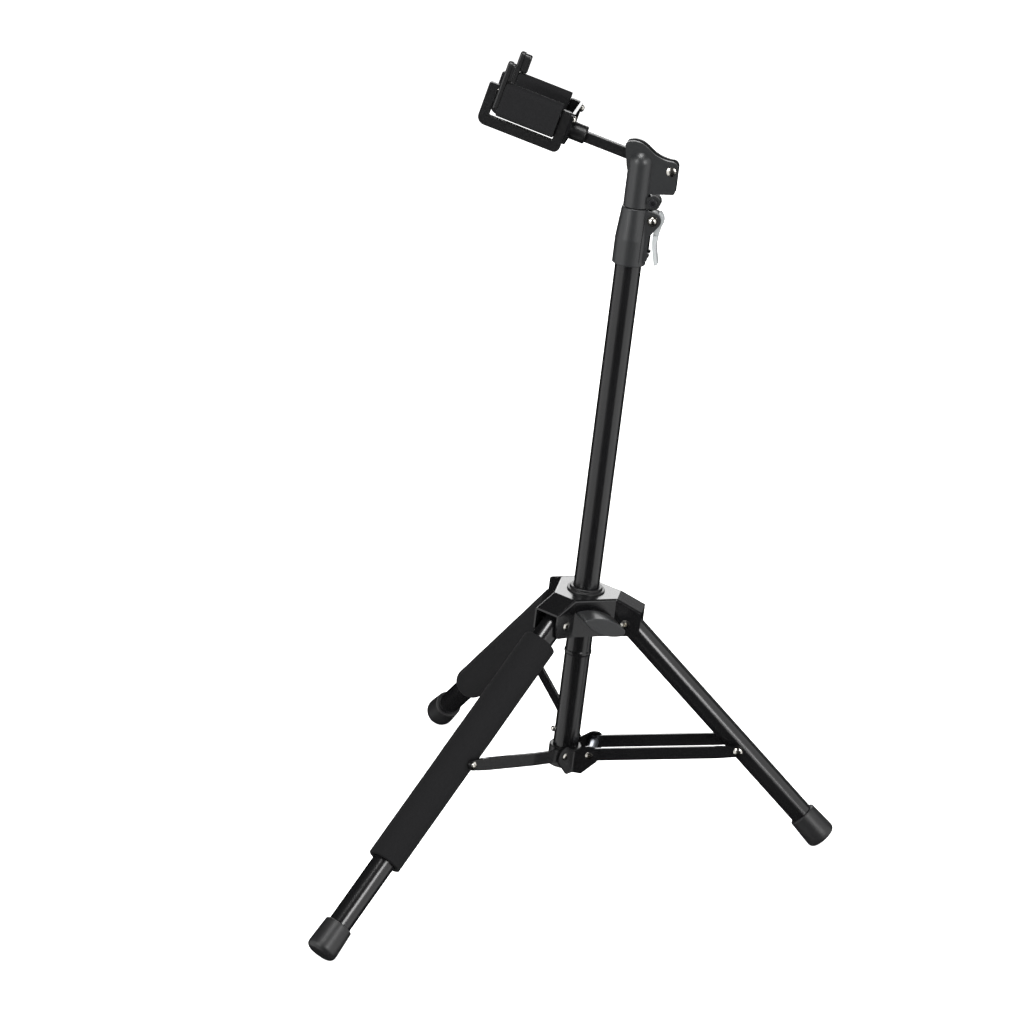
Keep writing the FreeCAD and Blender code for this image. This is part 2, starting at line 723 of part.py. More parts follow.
def clutch_body():
    body = clutch_profile(0)
    seam = clutch_r - 6.0
    line = block(-30, 30, seam, seam + 0.6, clutch_bottom + 5, clutch_top - 2)
    body = body.cut(line.cut(clutch_profile(0.7)))
    body = body.fuse(clutch_ear(ear_inner, ear_outer)).fuse(clutch_ear(-ear_outer, -ear_inner))
    body = body.cut(rod(plan, 0, 0, clutch_bottom - 1, mast_top, mast_r))
    body = body.cut(rod(plan, 0, 0, mast_top - 1, clutch_top + 1, clutch_bush_r))
    room = lever_wrap_dia / 2 + 1
    body = body.cut(rod(side, clutch_ear_y, clutch_ear_height, -ear_inner, ear_inner, room))
    body = body.cut(block(-1, 1, mast_r - 3, clutch_r + 12, clutch_bottom - 1, clutch_top + 1))
    return body.cut(rod(side, clutch_ear_y, clutch_ear_height, -30, 30, small_rivet_dia / 2))


def clutch_bush():
    """Split sleeve that grips the inner tube."""
    ring = tube(plan, 0, 0, mast_top, clutch_top - 0.5, clutch_bush_r, post_r + slide)
    ring = ring.cut(block(-ear_inner, ear_inner, 0, 30, clutch_ear_height - 13, clutch_top + 1))
    return ring.cut(block(-0.6, 0.6, 0, 30, mast_top - 1, clutch_top + 1))


def clutch_bolt():
    y, z = clutch_ear_y, clutch_ear_height
    bolt = rod(side, y, z, -ear_outer - 3, ear_outer, small_rivet_dia / 2)
    washer = rod(side, y, z, ear_outer, ear_outer + 0.7, 5.6)
    head = domed_head(side, y, z, ear_outer + 0.7, 1, 4.0, 2.4)
    nut = hex_prism(side, y, z, -ear_outer - 3.2, -ear_outer, 8.0)
    return bolt.fuse(washer).fuse(head).fuse(nut).removeSplitter()


def clutch_lever():
    """Cam lever: a cam between the ears, wrapped round the back into a curved handle."""
    half = lever_width / 2
    wrap_r = lever_wrap_dia / 2
    cam = rod(side, 0, 0, -half, half, clutch_ear_dia / 2 - 0.3)
    wedge = slab([(0, 0), (16, 26), (40, 10), (40, -20), (24, -20)], side, -half, half)
    wrap = rod(side, 0, 0, -half, half, wrap_r).common(wedge)
    handle = slab([(2.5, -4), (1.6, -24, 60), (7.0, -48.2, 1.0), (10.7, -46.6, 1.0), (5.6, -25, 45),
                   (9.6, -5)], side, -half, half)
    lever = cam.fuse(wrap).fuse(handle)
    for sign in (1, -1):
        low, high = sorted((sign * cam_width / 2, sign * (half + 1)))
        lever = lever.cut(block(low, high, -20, 20, -16, 20))
    lever = lever.removeSplitter().cut(rod(side, 0, 0, -half - 1, half + 1, small_rivet_dia / 2 + running))
    lever.translate(V(0, clutch_ear_y, clutch_ear_height))
    return lever


# ---------------------------------------------------------------- head
def head_cheek(low, high):
    """Side plate with an S-shaped top from the arm's rest down to the pivot, drawn from the pivot."""
    y, z = yoke_pivot_y, yoke_pivot_height
    front = -head_r - 0.4
    lower = head_bottom + cheek_under
    top = [(front, z + 25.5), (front + 6, z + 26.4), (front + 12, z + 25.3), (front + 18.6, z + 21.7),
           (front + 28.2, z + 14.9), (y - 9.2, z + 11.5), (y - 0.6, z + 10.4)]
    curve = Part.BSplineCurve()
    curve.interpolate([side(p, q, low) for p, q in top])
    rear = y + 6.4
    bend = [(y - 0.6, z + 10.4), (y + 4.7, z + 8.1), (rear, z + 3.4)]
    nose = [(front - 3.8, z + 18.8), (front - 3.2, z + 23.7), (front, z + 25.5)]
    foot = [(rear, lower + 5.0), (rear - 0.8, lower + 3.4), (rear - 2.6, lower + 2.6)]
    lines = [(bend[2], foot[0]), (foot[2], (16.0, lower)), ((16.0, lower), (-6.0, lower)),
             ((-6.0, lower), (front - 0.6, z)), ((front - 0.6, z), nose[0])]
    edges = [curve.toShape()]
    edges += [Part.Arc(*[side(p, q, low) for p, q in arc]).toShape() for arc in (bend, foot, nose)]
    edges += [Part.makeLine(side(*a, low), side(*b, low)) for a, b in lines]
    return Part.Face(Part.Wire(Part.__sortEdges__(edges))).extrude(V(high - low, 0, 0))


def head_housing():
    """Clamp sleeve on the inner tube with two cheeks that carry the yoke's arm."""
    body = rod(plan, 0, 0, head_bottom, head_shoulder, head_r)
    body = body.fuse(Part.makeSphere(head_r, V(0, 0, head_shoulder)))
    body = body.fuse(head_cheek(cheek_inner, cheek_outer)).fuse(head_cheek(-cheek_outer, -cheek_inner))
    lower = head_bottom + cheek_under
    body = body.fuse(block(-cheek_inner - 0.5, cheek_inner + 0.5, head_r - 4, head_r + 5,
                           lower + 1, lower + 16))
    body = body.fuse(rod(side, clamp_y, clamp_height, -cheek_outer, cheek_outer, clamp_ear_dia / 2))
    body = body.fuse(block(-cheek_outer, cheek_outer, head_r - 4.8, clamp_y, head_bottom,
                           clamp_height + clamp_ear_dia / 2 - 2))
    body = body.cut(block(-cheek_outer, cheek_outer, 0, clamp_y + 20, head_bottom - 5, head_bottom))
    body = body.cut(rod(plan, 0, 0, head_bottom - 1, head_shoulder, post_r))
    channel = block(-cheek_inner, cheek_inner, -60, 60, -arm_height / 2 - 0.1, 60)
    body = body.cut(moved(channel, yoke_place))
    room = arm_height / 2 + 1.5
    body = body.cut(rod(side, yoke_pivot_y, yoke_pivot_height, -cheek_inner, cheek_inner, room))
    body = body.cut(block(-1, 1, post_r - 2, clamp_y + 20, head_bottom - 1, lower + 1))
    body = body.cut(rod(side, yoke_pivot_y, yoke_pivot_height, -30, 30, small_rivet_dia / 2))
    return body.cut(rod(side, clamp_y, clamp_height, -30, 30, small_rivet_dia / 2)).removeSplitter()


def head_clamp_bolt():
    """Socket head bolt that clamps the head on the inner tube."""
    y, z, face = clamp_y, clamp_height, cheek_outer
    bolt = rod(side, y, z, -face - 2.5, face + 0.2, small_rivet_dia / 2)
    cap = rod(side, y, z, face, face + 2.6, 4.3)
    cap = rounded(cap, 0.5, lambda e, m: e.BoundBox.XLength < 0.01 and e.BoundBox.XMax > face + 2.5)
    cap = cap.cut(hex_prism(side, y, z, face + 0.9, face + 4, 4.4))
    nut = hex_prism(side, y, z, -face - 2.6, -face, 7.6)
    return bolt.fuse(cap).fuse(nut).removeSplitter()


def yoke_pivot_rivet():
    y, z, face = yoke_pivot_y, yoke_pivot_height, cheek_outer
    body = rod(side, y, z, -face, face, small_rivet_dia / 2)
    for sign in (1, -1):
        body = body.fuse(domed_head(side, y, z, sign * face, sign, 4.9, 1.7))
    return body


# ---------------------------------------------------------------- yoke, drawn forward from its pivot
def yoke_arm():
    half, thick = arm_height / 2, arm_thickness / 2
    bar = slab([(0, -half), (arm_length, -half), (arm_length, half), (0, half)], yoke_side, -thick, thick)
    bar = rounded(bar, 0.8, lambda e, m: e.Length > arm_length - 1)
    bar = bar.fuse(rod(yoke_side, 0, 0, -thick, thick, half))
    return bar.cut(rod(yoke_side, 0, 0, -thick - 1, thick + 1, small_rivet_dia / 2 + running))


def yoke_socket():
    rise = 1.2
    start = arm_length - socket_lap
    body = rod(yoke_front, 0, rise, start, frame_start - cross_plate, socket_dia / 2)
    body = rounded(body, 1.2, lambda e, m: abs(m.y + start) < 0.01)
    return body.cut(yoke_arm())


def yoke_cross_plate():
    """Rear plate that joins the side frames and carries the axles."""
    half = frame_offset + frame_thickness / 2
    low, high = -cross_plate_drop, frame_rise - 0.6
    plate = slab([(-half, low, 4), (half, low, 4), (half, high, 4), (-half, high, 4)], yoke_front,
                 frame_start - cross_plate, frame_start)
    for s in (frame_offset, -frame_offset):
        plate = plate.cut(rod(yoke_front, s, axle_rise, frame_start - 5, frame_start + 1, axle_dia / 2))
    return plate


def yoke_frame(setback):
    """U-shaped side frame whose two prongs carry an axle."""
    low, top = -frame_drop, frame_rise
    end, inside = frame_end - setback, window_end - setback
    corners = [(frame_start, low, 6.5), (end, low, 9.0), (end, top, 1.5), (inside, top, 1.5),
               (inside, low + frame_band, 0.8), (window_start, low + frame_band, 0.8),
               (window_start, top, 1.5), (frame_start, top, 1.5)]
    half = frame_thickness / 2
    body = slab(corners, yoke_side, frame_offset - half, frame_offset + half)
    body = rounded(body, 0.6, lambda e, m: abs(abs(m.x - frame_offset) - half) < 0.01)
    return body.cut(rod(yoke_front, frame_offset, axle_rise, frame_start - 1, end + 1, axle_dia / 2))


def yoke_axle(setback):
    """Axle with a domed nut behind the cross plate."""
    rear = frame_start - cross_plate
    body = rod(yoke_front, frame_offset, axle_rise, rear, frame_end - setback, axle_dia / 2)
    nut = domed_head(yoke_front, frame_offset, axle_rise, rear, -1, 4.0, 3.4)
    return body.fuse(nut).removeSplitter()


def pad_core(setback):
    """Rocker tube on the axle with a web inside the pad."""
    bore = axle_dia / 2 + running
    end = gate_start - setback
    body = rod(yoke_front, frame_offset, axle_rise, window_start + 0.3, end, bore + 1.4)
    web = slab([(frame_offset - 1.5, pad_bottom + 5), (frame_offset + 1.5, pad_bottom + 5),
                (frame_offset + 1.5, axle_rise), (frame_offset - 1.5, axle_rise)], yoke_front,
               pad_start + 4, end)
    hole = rod(yoke_front, frame_offset, axle_rise, window_start - 1, end + 1, bore)
    return body.fuse(web).removeSplitter().cut(hole)


def pad_foam(setback):
    """Soft pad that the instrument's head hangs on."""
    half = pad_thickness / 2
    left, right, end = frame_offset - half, frame_offset + half, gate_start - setback - pad_gap
    corners = [(p, q, pad_round) for p, q in ((left, pad_bottom), (right, pad_bottom),
                                              (right, pad_top), (left, pad_top))]
    body = slab(corners, yoke_front, pad_start, end)
    hole = rod(yoke_front, frame_offset, axle_rise, pad_start - 1, end + 1, axle_dia / 2 + 0.5)
    return body.cut(pad_core(setback).fuse(hole))


def gate_blade(setback, rib_depth):
    """Blade that tips in front of the neck, with a rounded rib behind its tip."""
    half = gate_width / 2
    left, right = frame_offset - half, frame_offset + half
    start = gate_start - setback
    end = start + gate_thickness
    top = axle_rise + gate_over_axle
    blade = [(left, 0, 2.0), (right, 0, 2.0), (right, top, 4.0), (left, top, 4.0)]
    body = slab(blade, yoke_front, start, end)
    body = rounded(body, 2.0, lambda e, m: abs(m.y + end) < 0.01 and e.Length > gate_width)
    low = pad_top + 0.8
    rib = slab([(left + 1, low, 2.0), (right - 1, low, 2.0), (right - 1, top - 1, 3.9),
                (left + 1, top - 1, 3.9)], yoke_front, start - rib_depth, start + 0.5)
    rib = rounded(rib, 1.9, lambda e, m: abs(m.y + start - rib_depth) < 0.01)
    body = body.fuse(rib).removeSplitter()
    return body.cut(rod(yoke_front, frame_offset, axle_rise, start - 1, end + 1, axle_dia / 2 + running))


# ---------------------------------------------------------------- the whole stand
def build():
    """All pieces in the mast's frame, by node name."""
    pieces = {
        "mast_tube": mast_tube(),
        "mast_foot_plug": mast_foot_plug(),
        "mast_foot_rivet": mast_rivet(),
        "collar_plate_right": collar_plate(azimuths["right"]),
        "collar_plate_left": collar_plate(azimuths["rear"]),
        "collar_core": collar_core(),
        "collar_rivets": collar_rivets(),
        "collar_spacer": collar_spacer(),
        "hub_bracket": hub_bracket(),
        "hub_bush": hub_bush(),
        "hub_rivets": hub_rivets(),
        "wing_knob": wing_knob(),
        "wing_screw": wing_screw(),
        "wing_nut": wing_nut(),
        "inner_tube": inner_tube(),
        "inner_glide": inner_glide(),
        "clutch_body": clutch_body(),
        "clutch_bush": clutch_bush(),
        "clutch_bolt": clutch_bolt(),
        "clutch_lever": clutch_lever(),
        "head_housing": head_housing(),
        "head_clamp_bolt": head_clamp_bolt(),
        "yoke_pivot_rivet": yoke_pivot_rivet(),
    }
    for name, azimuth in azimuths.items():
        length = front_leg_length if name in front_sides else rear_leg_length
        sign = front_sides.get(name, 0)
        low, high = -lug_outer, lug_outer
        if sign:
            low = -foam_r + 0.1 if sign < 0 else -leg_r
            high = foam_r - 0.1 if sign > 0 else leg_r
        pieces[name + "_leg_tube"] = leg_tube(length, azimuth)
        pieces[name + "_leg_eyelet"] = leg_eyelet(azimuth, low, high)
        pieces[name + "_foot"] = foot_cap(length, azimuth)
    for name in front_sides:
        pieces[name + "_leg_foam"] = leg_foam(azimuths[name])
        pieces[name + "_brace"] = front_brace(name)
        pieces[name + "_brace_screw"] = front_brace_screw(name)
    pieces["rear_brace_right"] = rear_brace(-1)
    pieces["rear_brace_left"] = rear_brace(1)
    pieces["rear_brace_rivets"] = rear_brace_rivets()
    for name, make in (("yoke_arm", yoke_arm), ("yoke_socket", yoke_socket),
                       ("yoke_cross_plate", yoke_cross_plate)):
        pieces[name] = moved(make(), yoke_place)
    for name, (setback, rib_depth) in yoke_sides.items():
        drawn = {"yoke_frame": yoke_frame(setback), "axle": yoke_axle(setback),
                 "pad_core": pad_core(setback), "pad": pad_foam(setback),
                 "gate": gate_blade(setback, rib_depth)}
        for piece, shape in drawn.items():
            shape = shape if name == "right" else mirrored(shape)
            pieces[name + "_" + piece] = moved(shape, yoke_place)
    return pieces


def foot_low(length, azimuth, lean):
    """Lowest point of a foot against the hub's pivots, with the mast leaned back."""
    spread, a, back = math.radians(leg_spread), math.radians(lean), math.sin(math.radians(azimuth))
    r, z = leg_point(length - foot_round)
    centre = z * math.cos(a) - r * back * math.sin(a)
    steep = math.cos(spread) * math.cos(a) + back * math.sin(spread) * math.sin(a)
    ring = foot_bottom_r - foot_round
    return centre - ring * math.sqrt(1 - steep * steep) - foot_round


def stand_level():
    """Lean of the mast that stands all three feet level, and the hub's height over the floor."""
    low, high = 0.0, 30.0
    for _ in range(60):
        lean = (low + high) / 2
        front = foot_low(front_leg_length, azimuths["right"], lean)
        rear = foot_low(rear_leg_length, azimuths["rear"], lean)
        low, high = (low, lean) if front > rear else (lean, high)
    return lean, -front - foot_flat


pieces = build()
lean, hub_height = stand_level()
leaned = FreeCAD.Placement(V(0, 0, hub_height), FreeCAD.Rotation(V(1, 0, 0), -lean))
bound = Part.makeCompound([moved(s, leaned) for s in pieces.values()]).BoundBox
row_place = FreeCAD.Placement(V(0, -bound.Center.y, hub_height), FreeCAD.Rotation(V(1, 0, 0), -lean))
below_floor = Part.makeBox(2000, 2000, 50, V(-1000, -1000, -50))

os.makedirs("parts", exist_ok=True)
for name, shape in pieces.items():
    placed = moved(shape, row_place)
    if name.endswith("_foot"):
        placed = placed.cut(below_floor)
    placed.exportStep("parts/" + name + ".step")
    print(name, len(placed.Solids), placed.isValid(), round(placed.Volume))
print("lean", round(lean, 3), "hub height", round(hub_height, 2))
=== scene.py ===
import json
import math

import bmesh
import bpy
import numpy as np
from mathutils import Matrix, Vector, noise


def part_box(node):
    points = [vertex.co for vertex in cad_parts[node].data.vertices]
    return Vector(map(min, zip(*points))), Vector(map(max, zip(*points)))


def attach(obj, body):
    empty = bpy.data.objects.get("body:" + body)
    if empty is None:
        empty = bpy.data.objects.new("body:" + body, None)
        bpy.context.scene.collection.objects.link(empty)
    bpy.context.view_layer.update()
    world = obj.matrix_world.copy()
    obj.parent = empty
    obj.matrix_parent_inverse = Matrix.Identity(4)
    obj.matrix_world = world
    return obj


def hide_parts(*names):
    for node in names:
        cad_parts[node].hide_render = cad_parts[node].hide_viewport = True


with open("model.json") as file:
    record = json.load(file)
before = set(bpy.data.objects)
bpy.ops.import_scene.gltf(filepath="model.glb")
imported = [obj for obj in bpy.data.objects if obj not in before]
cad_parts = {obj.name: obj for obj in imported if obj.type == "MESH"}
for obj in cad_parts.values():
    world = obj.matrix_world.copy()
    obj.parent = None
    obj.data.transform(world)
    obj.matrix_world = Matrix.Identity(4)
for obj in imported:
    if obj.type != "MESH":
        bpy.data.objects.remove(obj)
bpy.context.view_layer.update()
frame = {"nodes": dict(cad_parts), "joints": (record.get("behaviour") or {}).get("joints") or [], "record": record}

nodes = frame["nodes"]
joints = {joint["name"]: joint for joint in frame["joints"]}


def linearColour(hexCode):
    parts = [int(hexCode[i:i + 2], 16) / 255 for i in (1, 3, 5)]
    linear = [c / 12.92 if c <= 0.04045 else ((c + 0.055) / 1.055) ** 2.4 for c in parts]
    return (*linear, 1.0)


def addNode(tree, kind, settings=None, links=None):
    # settings name a property or an input, links name an input and the output that feeds it
    node = tree.nodes.new(kind)
    for key, value in (settings or {}).items():
        if isinstance(key, str) and hasattr(node, key):
            setattr(node, key, value)
        else:
            node.inputs[key].default_value = value
    for key, source in (links or {}).items():
        tree.links.new(source, node.inputs[key])
    return node


def newMaterial(name):
    # also gives the place on the piece in metres, which every pattern here is drawn from
    material = bpy.data.materials.new(name)
    material.use_nodes = True
    tree = material.node_tree
    tree.nodes.clear()
    place = addNode(tree, "ShaderNodeTexCoord").outputs["Object"]
    return material, tree, place


def finishMaterial(tree, shader):
    addNode(tree, "ShaderNodeOutputMaterial", links={"Surface": shader.outputs[0]})


# In the looks below, a pattern's size is in mm, a bump is its strength and its depth in metres,
# and a roughness pair is what the pattern runs between.
powderCoatLook = {
    "colour": "#0a0a0b",
    "worn": "#101011",
    "wornScale": 18.0,              # per metre: the duller patches are about 55 mm across
    "roughness": (0.18, 0.26),
    "orangePeel": 1.6,              # between the coat's soft dimples
    "peelBump": (0.055, 0.0003),
    "grain": 0.35,                  # drawn coarser than the real 0.1, so that it shows
    "grainBump": (0.05, 0.00008),
}


def makePowderCoat():
    # polyester powder coat, sprayed on steel and baked: glossy satin black, whose faint orange
    # peel breaks reflections up softly
    look = powderCoatLook
    material, tree, place = newMaterial("satinBlackPowderCoat")
    peel = addNode(tree, "ShaderNodeTexNoise",
                   {"Scale": 1000 / look["orangePeel"], "Detail": 2.0}, {"Vector": place})
    grain = addNode(tree, "ShaderNodeTexNoise",
                    {"Scale": 1000 / look["grain"], "Detail": 1.0}, {"Vector": place})
    patches = addNode(tree, "ShaderNodeTexNoise",
                      {"Scale": look["wornScale"], "Detail": 3.0}, {"Vector": place})
    colour = addNode(tree, "ShaderNodeMix",
                     {"data_type": "RGBA", 6: linearColour(look["colour"]),
                      7: linearColour(look["worn"])},
                     {0: patches.outputs["Fac"]})
    low, high = look["roughness"]
    rough = addNode(tree, "ShaderNodeMapRange",
                    {"From Min": 0.3, "From Max": 0.7, "To Min": low, "To Max": high},
                    {"Value": grain.outputs["Fac"]})
    strength, depth = look["peelBump"]
    soft = addNode(tree, "ShaderNodeBump", {"Strength": strength, "Distance": depth},
                   {"Height": peel.outputs["Fac"]})
    strength, depth = look["grainBump"]
    fine = addNode(tree, "ShaderNodeBump", {"Strength": strength, "Distance": depth},
                   {"Height": grain.outputs["Fac"], "Normal": soft.outputs["Normal"]})
    shader = addNode(tree, "ShaderNodeBsdfPrincipled", {"IOR": 1.52},
                     {"Base Color": colour.outputs[2], "Roughness": rough.outputs["Result"],
                      "Normal": fine.outputs["Normal"]})
    finishMaterial(tree, shader)
    return material


texturedCoatLook = {
    "colour": "#070708",
    "roughness": (0.28, 0.44),
    "gloss": 0.32,                  # the pits hide part of the coat's reflection
    "grit": 0.55,                   # drawn coarser than the real 0.2, so that it shows
    "gritBump": (0.5, 0.00022),
}


def makeTexturedCoat():
    # fine-texture powder coat on the yoke's steel: the same black, grainy like fine sandpaper
    look = texturedCoatLook
    material, tree, place = newMaterial("texturedBlackPowderCoat")
    grit = addNode(tree, "ShaderNodeTexVoronoi", {"Scale": 1000 / look["grit"]},
                   {"Vector": place})
    speck = addNode(tree, "ShaderNodeTexNoise",
                    {"Scale": 1000 / look["grit"] / 2, "Detail": 3.0}, {"Vector": place})
    low, high = look["roughness"]
    rough = addNode(tree, "ShaderNodeMapRange",
                    {"From Min": 0.3, "From Max": 0.7, "To Min": low, "To Max": high},
                    {"Value": speck.outputs["Fac"]})
    strength, depth = look["gritBump"]
    bump = addNode(tree, "ShaderNodeBump", {"Strength": strength, "Distance": depth},
                   {"Height": grit.outputs["Distance"]})
    shader = addNode(tree, "ShaderNodeBsdfPrincipled",
                     {"Base Color": linearColour(look["colour"]), "IOR": 1.5,
                      "Specular IOR Level": look["gloss"]},
                     {"Roughness": rough.outputs["Result"], "Normal": bump.outputs["Normal"]})
    finishMaterial(tree, shader)
    return material


platedLooks = {
    "brightNickelPlate": {"colour": "#d2cfc8", "roughness": (0.16, 0.30), "rub": 0.9},
    "clearZincPlate": {"colour": "#aeb2b8", "roughness": (0.34, 0.48), "rub": 1.4},
}
rubMarks = {
    "shorten": 9.0,                 # how much finer the marks are up and down than across
    "bump": (0.08, 0.00005),
}


def makePlatedSteel(name):
    # steel, barrel plated: nickel is bright with hairline rub marks, zinc duller and blue-grey
    look = platedLooks[name]
    material, tree, place = newMaterial(name)
    stretch = addNode(tree, "ShaderNodeMapping", {"Scale": (1.0, 1.0, rubMarks["shorten"])},
                      {"Vector": place})
    rub = addNode(tree, "ShaderNodeTexNoise", {"Scale": 1000 / look["rub"], "Detail": 4.0},
                  {"Vector": stretch.outputs["Vector"]})
    low, high = look["roughness"]
    rough = addNode(tree, "ShaderNodeMapRange",
                    {"From Min": 0.35, "From Max": 0.75, "To Min": low, "To Max": high},
                    {"Value": rub.outputs["Fac"]})
    strength, depth = rubMarks["bump"]
    bump = addNode(tree, "ShaderNodeBump", {"Strength": strength, "Distance": depth},
                   {"Height": rub.outputs["Fac"]})
    shader = addNode(tree, "ShaderNodeBsdfPrincipled",
                     {"Base Color": linearColour(look["colour"]), "Metallic": 1.0},
                     {"Roughness": rough.outputs["Result"], "Normal": bump.outputs["Normal"]})
    finishMaterial(tree, shader)
    return material


# roughness falls from the first value to the second on the grain's high points
fineGrainLooks = {
    "charcoalGlassNylon": {"colour": "#1b1c1d", "roughness": (0.43, 0.34), "grain": 0.7,
                           "bump": (0.16, 0.0001)},
    "blackNylon": {"colour": "#0a0a0b", "roughness": (0.43, 0.34), "grain": 0.6,
                   "bump": (0.14, 0.0001)},
    "greyNylon": {"colour": "#1d1e1f", "roughness": (0.41, 0.32), "grain": 0.7,
                  "bump": (0.2, 0.0001)},
    "paleNylon": {"colour": "#8f9293", "roughness": (0.47, 0.38), "grain": 0.8,
                  "bump": (0.1, 0.0001)},
    "blackOxideSteel": {"colour": "#17171a", "roughness": (0.35, 0.26), "grain": 0.5,
                        "bump": (0.08, 0.0001)},
}
colourDrift = 0.07                  # share that the colour drifts up and down by
driftScale = 30.0                   # per metre


def makeFineGrain(name):
    # nylon moulded against a spark-eroded tool: an even, very fine grain, a little glossier on
    # its high points. The oiled black oxide on the screws has the same even, close skin.
    look = fineGrainLooks[name]
    material, tree, place = newMaterial(name)
    grain = addNode(tree, "ShaderNodeTexNoise",
                    {"Scale": 1000 / look["grain"], "Detail": 2.0, "Roughness": 0.6},
                    {"Vector": place})
    flow = addNode(tree, "ShaderNodeTexNoise", {"Scale": driftScale, "Detail": 2.0},
                   {"Vector": place})
    base = linearColour(look["colour"])[:3]
    darker = tuple(c * (1 - colourDrift) for c in base) + (1.0,)
    lighter = tuple(c * (1 + colourDrift) for c in base) + (1.0,)
    colour = addNode(tree, "ShaderNodeMix", {"data_type": "RGBA", 6: darker, 7: lighter},
                     {0: flow.outputs["Fac"]})
    low, high = look["roughness"]
    rough = addNode(tree, "ShaderNodeMapRange",
                    {"From Min": 0.3, "From Max": 0.7, "To Min": low, "To Max": high},
                    {"Value": grain.outputs["Fac"]})
    strength, depth = look["bump"]
    bump = addNode(tree, "ShaderNodeBump", {"Strength": strength, "Distance": depth},
                   {"Height": grain.outputs["Fac"]})
    shader = addNode(tree, "ShaderNodeBsdfPrincipled", {"IOR": 1.53},
                     {"Base Color": colour.outputs[2], "Roughness": rough.outputs["Result"],
                      "Normal": bump.outputs["Normal"]})
    finishMaterial(tree, shader)
    return material


rubberLook = {
    "colour": "#131314",
    "bloom": "#1e1e1e",
    "bloomScale": 60.0,             # per metre
    "bloomShare": 0.6,
    "roughness": 0.42,
    "grain": 0.6,
    "grainBump": (0.25, 0.00012),
}


def makeRubber():
    # moulded rubber: dull dark grey, with a faint pale bloom and a slightly uneven skin
    look = rubberLook
    material, tree, place = newMaterial("mouldedRubber")
    skin = addNode(tree, "ShaderNodeTexNoise", {"Scale": 1000 / look["grain"], "Detail": 3.0},
                   {"Vector": place})
    bloom = addNode(tree, "ShaderNodeTexNoise", {"Scale": look["bloomScale"], "Detail": 5.0},
                    {"Vector": place})
    amount = addNode(tree, "ShaderNodeMapRange",
                     {"From Min": 0.45, "From Max": 0.8, "To Min": 0.0,
                      "To Max": look["bloomShare"]},
                     {"Value": bloom.outputs["Fac"]})
    colour = addNode(tree, "ShaderNodeMix",
                     {"data_type": "RGBA", 6: linearColour(look["colour"]),
                      7: linearColour(look["bloom"])},
                     {0: amount.outputs["Result"]})
    strength, depth = look["grainBump"]
    bump = addNode(tree, "ShaderNodeBump", {"Strength": strength, "Distance": depth},
                   {"Height": skin.outputs["Fac"]})
    shader = addNode(tree, "ShaderNodeBsdfPrincipled",
                     {"Roughness": look["roughness"], "IOR": 1.5},
                     {"Base Color": colour.outputs[2], "Normal": bump.outputs["Normal"]})
    finishMaterial(tree, shader)
    return material


foamLook = {
    "colour": "#161617",
    # painted shade: the open cells are drawn darker than the foam round them
    "poreShadeColour": "#080809",
    "poreShadeShare": 0.5,
    "cell": 0.9,                    # drawn larger than the real 0.3, so that cells show
    "cellBump": (0.45, 0.0003),
    "cloudScale": 90.0,             # per metre: slow waves in the skin
    "cloudBump": (0.25, 0.0006),
    "roughness": 0.85,
    "gloss": 0.12,                  # open cells swallow nearly all of the reflection
}


def makeFoam():
    # closed-cell rubber foam, cut so that its skin is open: matte black-grey with fine pores, which are drawn
    # darker as painted shade inside the open cells
    look = foamLook
    material, tree, place = newMaterial("closedCellFoam")
    cells = addNode(tree, "ShaderNodeTexVoronoi", {"Scale": 1000 / look["cell"]},
                    {"Vector": place})
    cloud = addNode(tree, "ShaderNodeTexNoise", {"Scale": look["cloudScale"], "Detail": 4.0},
                    {"Vector": place})
    # darker towards each cell's middle, as painted shade in the pores
    poreShadeMask = addNode(tree, "ShaderNodeMapRange",
                    {"From Min": 0.0, "From Max": 0.45, "To Min": look["poreShadeShare"],
                     "To Max": 0.0},
                    {"Value": cells.outputs["Distance"]})
    colour = addNode(tree, "ShaderNodeMix",
                     {"data_type": "RGBA", 6: linearColour(look["colour"]),
                      7: linearColour(look["poreShadeColour"])},
                     {0: poreShadeMask.outputs["Result"]})
    strength, depth = look["cloudBump"]
    soft = addNode(tree, "ShaderNodeBump", {"Strength": strength, "Distance": depth},
                   {"Height": cloud.outputs["Fac"]})
    strength, depth = look["cellBump"]
    bump = addNode(tree, "ShaderNodeBump", {"Strength": strength, "Distance": depth},
                   {"Height": cells.outputs["Distance"], "Normal": soft.outputs["Normal"]})
    shader = addNode(tree, "ShaderNodeBsdfPrincipled",
                     {"Roughness": look["roughness"], "IOR": 1.45,
                      "Specular IOR Level": look["gloss"]},
                     {"Base Color": colour.outputs[2], "Normal": bump.outputs["Normal"]})
    finishMaterial(tree, shader)
    return material


powderCoat = makePowderCoat()
texturedCoat = makeTexturedCoat()
foam = makeFoam()
finishOfSlot = {
    "black_powder_coat": powderCoat,
    "nickel_plate": makePlatedSteel("brightNickelPlate"),
    "zinc_plate": makePlatedSteel("clearZincPlate"),
    "charcoal_nylon": makeFineGrain("charcoalGlassNylon"),
    "black_nylon": makeFineGrain("blackNylon"),
    "grey_nylon": makeFineGrain("greyNylon"),
    "pale_nylon": makeFineGrain("paleNylon"),
    "black_oxide": makeFineGrain("blackOxideSteel"),
    "foot_rubber": makeRubber(),
    "black_foam": foam,
}
texturedNodes = ("yoke_arm", "right_yoke_frame", "left_yoke_frame")

for part in frame["record"]["subparts"]:
    finish = finishOfSlot[part["material_slot"]]
    if part["node"] in texturedNodes:
        finish = texturedCoat
    slots = nodes[part["node"]].data.materials
    slots.clear()
    slots.append(finish)
print("materials on", len(nodes), "nodes")


def nodePoints(name):
    mesh = nodes[name].data
    points = np.zeros(len(mesh.vertices) * 3)
    mesh.vertices.foreach_get("co", points)
    return points.reshape(-1, 3)


endBand = 0.0008        # metres: points this near a tube's end belong to its end face


